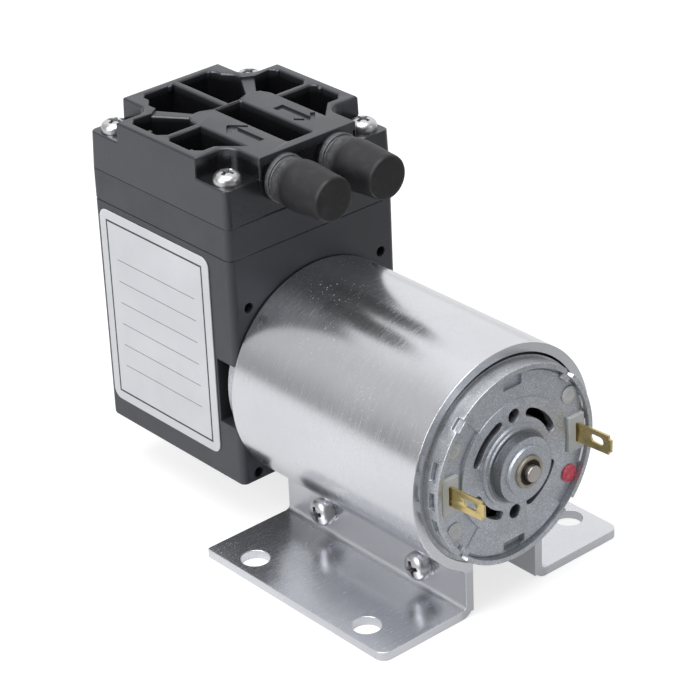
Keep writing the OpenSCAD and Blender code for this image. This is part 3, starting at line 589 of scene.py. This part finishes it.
def close_seams(bm, reach=2e-6):
    """Splits each open edge where another open corner lies on it, then joins what meets."""
    rounds = 6
    for _ in range(rounds):
        rest = [e for e in bm.edges if len(e.link_faces) == 1]
        corners = dict.fromkeys(v for e in rest for v in e.verts)
        splits = 0
        for edge in rest:
            start = edge.verts[0]
            run = edge.verts[1].co - start.co
            shares = []
            for v in corners:
                share = (v.co - start.co).dot(run) / max(run.length_squared, 1e-18)
                if 0 < share < 1 and v not in edge.verts and (v.co - start.co - run * share).length < reach:
                    shares.append(share)
            inner = [share for share in shares if reach < share * run.length < run.length - reach]
            if inner:
                bmesh.utils.edge_split(edge, start, min(inner))
                splits += 1
        border = dict.fromkeys(v for e in bm.edges if len(e.link_faces) == 1 for v in e.verts)
        bmesh.ops.remove_doubles(bm, verts=list(border), dist=reach)
        if not splits:
            break


def retiled_top(mesh):
    """Lays the flat top of the cover out again as tidy triangles between its rounded rims."""
    bm = opened(mesh)
    flat = [f for f in bm.faces if all(abs(v.co.z - COVER_TOP) < 2e-6 for v in f.verts)]
    chosen = set(flat)
    # edges and corners keep their order, so that every run lays the same triangles
    edges = dict.fromkeys(e for f in flat for e in f.edges)
    rim = [e for e in edges if sum(f in chosen for f in e.link_faces) == 1]
    points = list(dict.fromkeys(v for e in rim for v in e.verts))
    index = {v: i for i, v in enumerate(points)}
    plan = [v.co.xy.copy() for v in points]
    lines = [(index[e.verts[0]], index[e.verts[1]]) for e in rim]
    bmesh.ops.delete(bm, geom=flat, context="FACES_ONLY")
    made, _, tiles, sources, _, _ = geometry.delaunay_2d_cdt(plan, lines, [], 0, 1e-8)

    def inside(x, y):
        odd = False
        for i, j in lines:
            a, b = plan[i], plan[j]
            if (a.y > y) != (b.y > y) and x < a.x + (y - a.y) * (b.x - a.x) / (b.y - a.y):
                odd = not odd
        return odd

    corners = [points[src[0]] if src else bm.verts.new((xy.x, xy.y, COVER_TOP))
               for xy, src in zip(made, sources)]
    for tile in tiles:
        x, y = (sum(made[i][axis] for i in tile) / 3 for axis in (0, 1))
        if inside(x, y) and len({corners[i] for i in tile}) == 3:
            bm.faces.new([corners[i] for i in tile])
    loose = [e for e in bm.edges if not e.link_faces]
    bmesh.ops.delete(bm, geom=loose, context="EDGES")
    bmesh.ops.delete(bm, geom=[v for v in bm.verts if not v.link_edges], context="VERTS")
    close_seams(bm)
    bmesh.ops.recalc_face_normals(bm, faces=bm.faces)
    stored(bm, mesh)


def cover_widths(c, edge):
    """Edge radii of the cover in mm: soft rims and pockets, crisp arrows, sharp joint."""
    y = c.y - FACE_MM
    top, seat, ledge = COVER_TOP / MM, PLATE_TOP / MM, LEDGE_Z / MM
    beside_screw = abs(abs(c.x) - SCREW_SIDE) < 2.2 and min(abs(y - back) for back in SCREW_BACK) < 2.2
    if not edge.is_convex or beside_screw:
        return 0
    if y < -0.1:
        away = math.hypot(abs(c.x) - PORT_SIDE, c.z - PORT_Z / MM)
        return COLLAR if away > 3.6 and y < -0.4 else 0
    on_front = y < 0.6 and seat + 0.2 < c.z < top - 2
    if on_front:
        if not upright(edge):
            return 0
        return CRISP if abs(c.x) < 11.6 else CORNER
    if level(edge):
        if c.z > top - 0.02:
            on_arrow = 3.4 < abs(c.x) < 9.4 and 4.5 < y < 17.5
            if on_arrow:
                return CRISP
            walls = [f for f in edge.link_faces if abs(f.normal.z) < 0.1]
            lowest = min((v.co.z for f in walls for v in f.verts), default=0) / MM
            return SHALLOW if lowest > top - 0.7 else RIM
        if abs(c.z - (top - 0.5)) < 0.02:
            return RIB
        if abs(c.z - ledge) < 0.05 and (abs(c.x) > 19.3 or y < 0.6 or y > 40.4):
            return LEDGE_EDGE
        if c.z < seat + 0.05:
            return JOINT if abs(c.x) > 19.9 or y < 0.1 or y > 40.9 else 0
        return 0
    if not upright(edge):
        return 0
    beside_ledge = abs(abs(c.x) - 11.9) < 0.3 and (y < 0.2 or y > 40.8)
    in_pocket = 3.2 < abs(c.x) < 17.9 and 1.9 < y < 39.5 and c.z > top - 8.3
    return CORNER if beside_ledge or in_pocket else 0


def build_head_cover():
    mesh = edges_rounded(merged_copy("head_cover"), cover_widths, 3)
    retiled_top(mesh)
    for v in mesh.vertices:
        v.co = cover_draft(v.co)
    finished("head_cover_moulding", mesh, "frame", "cover_plastic", ("head_cover",))


def build_pin_marks():
    """Small round ends that the ejector pins leave at the tops of the pocket walls."""
    profile = ((0, -1.2), (0.5, -1.2), (0.56, -0.5), (0.54, -0.25), (0.44, -0.1), (0.25, -0.045),
               (0, -0.03))
    steps = 20
    bm = bmesh.new()
    for x, y in PIN_MARKS:
        skinned(bm, [[bm.verts.new(((x + radius * math.cos(a)) * MM, FACE_Y + (y + radius * math.sin(a)) * MM,
                                    COVER_TOP + z * MM)) for a in around(steps if radius else 1)]
                     for radius, z in profile])
    for v in bm.verts:
        v.co = cover_draft(v.co)
    finished("cover_pin_marks", new_mesh("cover_pin_marks", bm), "frame", "cover_plastic", (), 50)


def head_block_widths(c, edge):
    """Fine edges round the layers of the head, a little softer at the body's joint."""
    y = c.y - FACE_MM
    outer = abs(c.x) > 19.3 or y < 0.4 or y > 40.6
    width = 0.27 if abs(c.z - BODY_HIGH.z / MM) < 0.1 else 0.17
    return width if outer and edge.is_convex and level(edge) else 0


def body_widths(c, edge):
    """Edge radii of the pump body in mm: fine at the holes, softer at its bottom, sides and joint."""
    y = c.y - FACE_MM
    in_hole = abs(abs(c.x) - 16.3) < 1.3 and y < 6 and abs(c.z - AXIS_MM) > 12
    if in_hole:
        return 0.12 if y < 0.3 else 0
    in_bore = math.hypot(c.x, c.z - AXIS_MM) < 19.8 and y < 8
    if in_bore:
        return 0.15 if y < 0.3 else 0
    at_joint, at_bottom = c.z > BODY_HIGH.z / MM - 0.2, c.z < BODY_LOW.z / MM + 0.2
    if at_joint or at_bottom:
        return head_block_widths(c, edge) * (3 if at_bottom else 1)
    in_side_window = abs(c.x) > 17 and y < 7
    if in_side_window:
        return 0.25
    return 0.2 if y > 40.7 else 0


def build_pump_body():
    """The body's flat sides become whole faces, which keeps their shading even up to the round corners."""
    mesh = edges_rounded(merged_copy("pump_body"), body_widths)
    bm = opened(mesh)
    bmesh.ops.dissolve_limit(bm, angle_limit=math.radians(0.1), verts=bm.verts, edges=bm.edges)
    finished("pump_body_moulding", stored(bm, mesh), "frame", "body_plastic", ("pump_body",))


def build_dust_cap(node, side):
    """Rubber cap turned round a barb's middle line, from (radius, distance from the face) in mm."""
    outside = [(3.25, 1.5), (4.0, 1.48), (4.32, 1.56), (4.48, 1.78), (4.53, 2.1), (4.5, 2.5),
               (4.47, 2.9), (4.5, 3.3), (4.6, 3.8), (4.74, 4.3), (4.84, 4.9), (4.87, 5.6),
               (4.82, 6.5), (4.73, 7.8), (4.62, 9.3), (4.48, 11.0), (4.38, 12.9), (4.34, 13.45),
               (4.26, 13.82), (4.1, 14.06), (3.85, 14.16), (3.2, 14.19), (2.0, 14.17), (0, 14.15)]
    inside = [(0, 10.4), (3.05, 10.4), (3.05, 1.95)]
    steps = 72
    x = side * PORT_X
    bm = bmesh.new()
    skinned(bm, [[bm.verts.new((x + radius * MM * math.cos(a), (FACE_MM - y) * MM,
                                PORT_Z + radius * MM * math.sin(a))) for a in around(steps if radius else 1)]
                 for radius, y in outside + inside], closed=True)
    for v in bm.verts:
        # slightly uneven rubber, as the cap is pushed over the barb
        angle = math.atan2(v.co.z - PORT_Z, v.co.x - x)
        swell = 1 + 0.006 * math.sin(2 * angle + side) + 0.004 * math.sin(3 * angle + v.co.y / MM * 0.4)
        swell = min(swell, 1.004)
        v.co.x = x + (v.co.x - x) * swell
        v.co.z = PORT_Z + (v.co.z - PORT_Z) * swell
    finished(node + "_rubber", new_mesh(node, bm), BODY_OF[node], "cap_rubber", (node,), 50)


def pan_head_master():
    """Pan head of diameter 1 with a tapered cross recess; seat at z = 0, head up."""
    profile = [(0, -0.02), (0.47, -0.02), (0.5, 0.01), (0.5, 0.1), (0.485, 0.19), (0.44, 0.27),
               (0.36, 0.335), (0.24, 0.375), (0.12, 0.39), (0, 0.395)]
    steps = 48
    bm = bmesh.new()
    skinned(bm, [[bm.verts.new((radius * math.cos(a), radius * math.sin(a), z))
                  for a in around(steps if radius else 1)] for radius, z in profile])
    head = new_mesh("pan_head", bm)
    bm = bmesh.new()
    for turn in (0, 90):
        wing = bmesh.ops.create_cube(bm, size=1)["verts"]
        for v in wing:
            length, width, height = (0.24, 0.1, 0.1) if v.co.z < 0 else (0.62, 0.145, 0.42)
            v.co = Vector((v.co.x * length, v.co.y * width, height))
        bmesh.ops.rotate(bm, verts=wing, cent=(0, 0, 0), matrix=Matrix.Rotation(math.radians(turn), 3, "Z"))
    core = bmesh.ops.create_cone(bm, cap_ends=True, segments=16, radius1=0.085, radius2=0.15,
                                 depth=0.32)["verts"]
    bmesh.ops.translate(bm, verts=core, vec=(0, 0, 0.26))
    cutter = placed("cross_cutter", new_mesh("cross_cutter", bm))
    head = baked(head, "BOOLEAN", operation="DIFFERENCE", object=cutter, solver="EXACT", use_self=True)
    bpy.data.objects.remove(cutter)
    head = baked(head, "BEVEL", width=0.012, segments=2, limit_method="ANGLE",
                 angle_limit=math.radians(38), use_clamp_overlap=True)
    # the recess attribute marks where the screw material paints shade into the cross
    recess = head.attributes.new("recess", "FLOAT", "POINT")
    for v in head.vertices:
        away = v.co.xy.length
        recess.data[v.index].value = float(away < 0.38 and 0 < v.co.z < 0.375 - 0.46 * away * away)
    return head


def shank_master(pitches):
    """Threaded shank of diameter 1, one pitch per unit of length, pointing down from z = 0."""
    steps, per_pitch = 20, 6
    thread_depth, point_depth = 0.09, 0.08
    bm = bmesh.new()
    rows = []
    for j in range(pitches * per_pitch + 1):
        z = -j / per_pitch
        fade = min(1, pitches + z)
        row = []
        for k, a in enumerate(around(steps)):
            wave = abs(((j / per_pitch + k / steps) % 1.0) - 0.5) * 2
            radius = 0.5 - thread_depth * wave - point_depth * (1 - fade)
            row.append(bm.verts.new((radius * math.cos(a), radius * math.sin(a), z)))
        rows.append(row)
    skinned(bm, rows)
    bm.faces.new(rows[0])
    bm.faces.new(rows[-1][::-1])
    return new_mesh("shank", bm)


def screw_tree(material):
    """Geometry Nodes: one screw, head and threaded shank, on every point of the input."""
    tree = bpy.data.node_groups.new("screws", "GeometryNodeTree")
    for name, side, kind in (("Geometry", "INPUT", "Geometry"), ("Geometry", "OUTPUT", "Geometry"),
                             ("Head", "INPUT", "Object"), ("Shank", "INPUT", "Object"),
                             ("Head diameter", "INPUT", "Float"), ("Thread diameter", "INPUT", "Float"),
                             ("Thread pitch", "INPUT", "Float"), ("Direction", "INPUT", "Rotation")):
        tree.interface.new_socket(name, in_out=side, socket_type="NodeSocket" + kind)
    wires = Wiring(tree)
    given = wires.add("NodeGroupInput").outputs
    # each screw stops at its own angle
    turn = wires.add("FunctionNodeRandomValue", {0: (0, 0, 0), 1: (0, 0, math.radians(90)), "Seed": 7},
                     data_type="FLOAT_VECTOR")
    euler = wires.add("FunctionNodeEulerToRotation", {0: turn.outputs[0]})
    aim = wires.add("FunctionNodeRotateRotation",
                    {"Rotation": given["Direction"], "Rotate By": euler.outputs[0]}, rotation_space="LOCAL")
    join = wires.add("GeometryNodeJoinGeometry")
    for part, sizes in (("Head", ("Head diameter",) * 3),
                        ("Shank", ("Thread diameter", "Thread diameter", "Thread pitch"))):
        info = wires.add("GeometryNodeObjectInfo", {"Object": given[part]})
        size = wires.add("ShaderNodeCombineXYZ", {axis: given[name] for axis, name in enumerate(sizes)})
        each = wires.add("GeometryNodeInstanceOnPoints",
                         {"Points": given["Geometry"], "Instance": info.outputs["Geometry"],
                          "Rotation": aim.outputs[0], "Scale": size.outputs[0]})
        wires.feed(join.inputs[0], each.outputs[0])
    real = wires.add("GeometryNodeRealizeInstances", {0: join.outputs[0]})
    finish = wires.add("GeometryNodeSetMaterial", {"Geometry": real.outputs[0], "Material": material})
    wires.add("NodeGroupOutput", {0: finish.outputs[0]})
    return tree


def build_screws(node, points, turn, head_width, length):
    """Screws of one kind, made by the screw tree at the given seats (metres)."""
    slot = SLOT_OF[node]
    head = placed("head_master", pan_head_master())
    shank = placed("shank_master", shank_master(round(length / THREAD_PITCH)))
    seats = bpy.data.meshes.new("seats")
    seats.from_pydata(points, [], [])
    holder = placed("seats", seats)
    tree = screw_tree(FINISHES[slot])
    modifier = holder.modifiers.new("screws", "NODES")
    modifier.node_group = tree
    values = {"Head": head, "Shank": shank, "Head diameter": head_width * MM,
              "Thread diameter": THREAD_WIDTH * MM, "Thread pitch": THREAD_PITCH * MM, "Direction": turn}
    for item in tree.interface.items_tree:
        if item.in_out == "INPUT" and item.name in values:
            modifier[item.identifier] = values[item.name]
    mesh = evaluated_mesh(holder)
    holder.modifiers.remove(modifier)
    for thing in (holder, head, shank):
        bpy.data.objects.remove(thing)
    bpy.data.node_groups.remove(tree)
    bm = opened(mesh)
    bmesh.ops.remove_doubles(bm, verts=bm.verts, dist=1e-6)
    bmesh.ops.dissolve_degenerate(bm, edges=bm.edges, dist=1e-6)
    finished(node + "_plated", stored(bm, mesh), BODY_OF[node], slot, (node,), 30)


def clamp_widths(c, edge):
    """The folds of the sheet are round, its sheared edges nearly sharp."""
    fold_side, fold_radius, sheared = 9.6, 1.1, 0.11
    along = abs(edge.verts[0].co.y - edge.verts[1].co.y) > 5 * MM
    return fold_radius if along and abs(abs(c.x) - fold_side) < 0.3 and 8 < c.z < 12 else sheared


def build_flux_ring():
    """The ring round the can: it fills the clamp below and at the sides and leaves a crescent above."""
    front, back = CLAMP_LOW.y / MM + 0.3, FACE_MM - 5
    thick, thinned, thinnest_at, air = 0.83, 0.68, math.radians(97), 0.02
    steps = 144
    bm = bmesh.new()
    rings = []
    for inner, y in ((False, back), (False, front), (True, front), (True, back)):
        ring = []
        for a in around(steps):
            top = max(0.0, math.cos(a - thinnest_at)) ** 1.6
            r = CAN_R + air if inner else CAN_R + thick - thinned * top
            ring.append(bm.verts.new((r * MM * math.cos(a), y * MM, AXIS_Z + r * MM * math.sin(a))))
        rings.append(ring)
    skinned(bm, rings, closed=True)
    finished("flux_ring_rolled", new_mesh("flux_ring_rolled", bm), "frame", "ring_steel", ("flux_ring",))


def build_solder_tabs():
    """Each tab steps sideways inside its insulator."""
    begins, run, step = CAP_FACE + 1.5 * MM, 1.8 * MM, 0.8 * MM
    tabs = edges_rounded(merged_copy("solder_tabs"), 0.09)
    for v in tabs.vertices:
        out = min(1, max(0, (begins - v.co.y) / run))
        v.co.x += step * out * out * (3 - 2 * out)
    finished("solder_tabs_stamped", tabs, "frame", "tab_brass", ("solder_tabs",))


def near_end(width, depth):
    """Edge radius in mm for what lies within a depth of the motor's end, and none behind it."""
    return lambda c, edge: width if c.y < CAP_MM + depth else 0


def build_small_metal():
    softened("end_cap", near_end(0.12, 1.2))
    softened("motor_can", near_end(0.14, 2.6))
    build_solder_tabs()
    softened("brush_carrier", near_end(0.16, 1.0), segments=3)
    softened("spring_washers", 0.12)
    softened("flat_washers", 0.09)
    softened("cross_nuts", 0.16)
    softened("motor_shaft", 0.2)
    softened("rear_bushing", 0.12)


def build_pieces():
    build_head_cover()
    build_pin_marks()
    softened("valve_plate", head_block_widths)
    build_pump_body()
    softened("clamp_bracket", clamp_widths, segments=4)
    for node, side in (("inlet_cap", -1), ("outlet_cap", 1)):
        build_dust_cap(node, side)
    build_screws("cover_screws", [(x, y, LEDGE_Z) for x, y in COVER_SCREWS], (0, 0, 0),
                 head_width=5.3, length=17.0)
    build_screws("cross_screws", [(CROSS_LOW.x + 2.2 * MM, y, CROSS_Z) for y in CROSS_Y],
                 (0, math.radians(-90), 0), head_width=5.6, length=24.0)
    build_flux_ring()
    build_small_metal()
    softened("rating_plate", 0.08)


def floor_white():
    """White to the camera; reflections meet it paler beside and behind the pump than in front of it."""
    grey, seen_light = 0.36, 0.72
    f = Finish("floor_white")
    path = f.add("ShaderNodeLightPath").outputs
    seen = f.math("MAXIMUM", path["Is Camera Ray"], path["Is Transmission Ray"])
    pale = f.ranged(f.place()["Y"], 0.0, 0.46, -0.10, 0.03)
    light = f.math("MULTIPLY_ADD", path["Is Glossy Ray"], pale, f.math("MULTIPLY", seen, seen_light))
    f.set(Base_Color=(grey, grey, grey, 1), Roughness=0.6, Specular_IOR_Level=0.2,
          Emission_Color=(1, 1, 1, 1), Emission_Strength=light)
    return f.material


def build_floor():
    half_size, drop = 3, 0.00005
    mesh = bpy.data.meshes.new("floor")
    bm = bmesh.new()
    bmesh.ops.create_grid(bm, x_segments=4, y_segments=4, size=half_size)
    floor = placed("floor", stored(bm, mesh))
    floor.location.z = -drop
    mesh.materials.append(floor_white())


def build_room():
    """The room: white on the right and overhead, greyer on the left, darkest in front of the motor's end."""
    world = bpy.data.worlds.new("studio")
    bpy.context.scene.world = world
    world.use_nodes = True
    room = Wiring(world.node_tree)
    towards = room.add("ShaderNodeTexCoord").outputs["Generated"]
    way = room.add("ShaderNodeSeparateXYZ", {0: towards}).outputs
    right = room.ranged(way["X"], 0.52, 1.0, -0.5, 0.25, interpolation_type="SMOOTHSTEP")
    front = room.ranged(way["Y"], 0.35, 1.0, -0.75, 0.2, interpolation_type="SMOOTHSTEP")
    up = room.ranged(way["Z"], 0.62, 1.1, 0.0, 0.5, interpolation_type="SMOOTHSTEP")
    left = room.math("MULTIPLY", right, up)
    share = room.ranged(way["X"], 0.0, 1.0, -0.1, 0.4)
    across = room.add("ShaderNodeMix", {0: share, 2: left, 3: right}).outputs[0]
    walls = room.math("MULTIPLY", across, front)
    path = room.add("ShaderNodeLightPath").outputs
    seen = room.math("MAXIMUM", path["Is Camera Ray"], path["Is Transmission Ray"])
    glossy = room.math("MULTIPLY", path["Is Glossy Ray"], walls)
    dull = room.math("MULTIPLY", path["Is Diffuse Ray"], WORLD_FILL)
    background = room.tree.nodes["Background"]
    room.feed(background.inputs["Strength"], room.math("ADD", seen, room.math("ADD", glossy, dull)))
    room.feed(background.inputs["Color"], (1, 1, 1, 1))


def softbox(name, place, target, size, power):
    lamp = bpy.data.lights.new(name, "AREA")
    lamp.shape = "RECTANGLE"
    lamp.size, lamp.size_y = size
    lamp.energy = power
    holder = placed(name, lamp)
    holder.location = place
    holder.rotation_euler = (Vector(target) - Vector(place)).to_track_quat("-Z", "Y").to_euler()


def build_camera():
    lens = bpy.data.cameras.new("photo_camera")
    lens.sensor_width = 36
    lens.lens = CAMERA_LENS
    lens.shift_x, lens.shift_y = CAMERA_SHIFT
    lens.clip_start = 0.01
    holder = placed("photo_camera", lens)
    holder.location = CAMERA_PLACE
    holder.rotation_euler = tuple(math.radians(a) for a in CAMERA_TURN)
    bpy.context.scene.camera = holder


build_pieces()
build_floor()
build_room()
softbox("key_left", (-0.85, 0.0, 0.5), (0, 0.02, 0.04), (0.6, 0.6), 5.2)
softbox("top", (-0.22, -0.08, 0.85), (0, 0.01, 0.04), (0.7, 0.7), 7.4)
softbox("front_right", (0.35, -0.6, 0.3), (0, -0.01, 0.03), (0.3, 0.4), 0.3)
build_camera()
bpy.context.scene.view_settings.view_transform = "Standard"
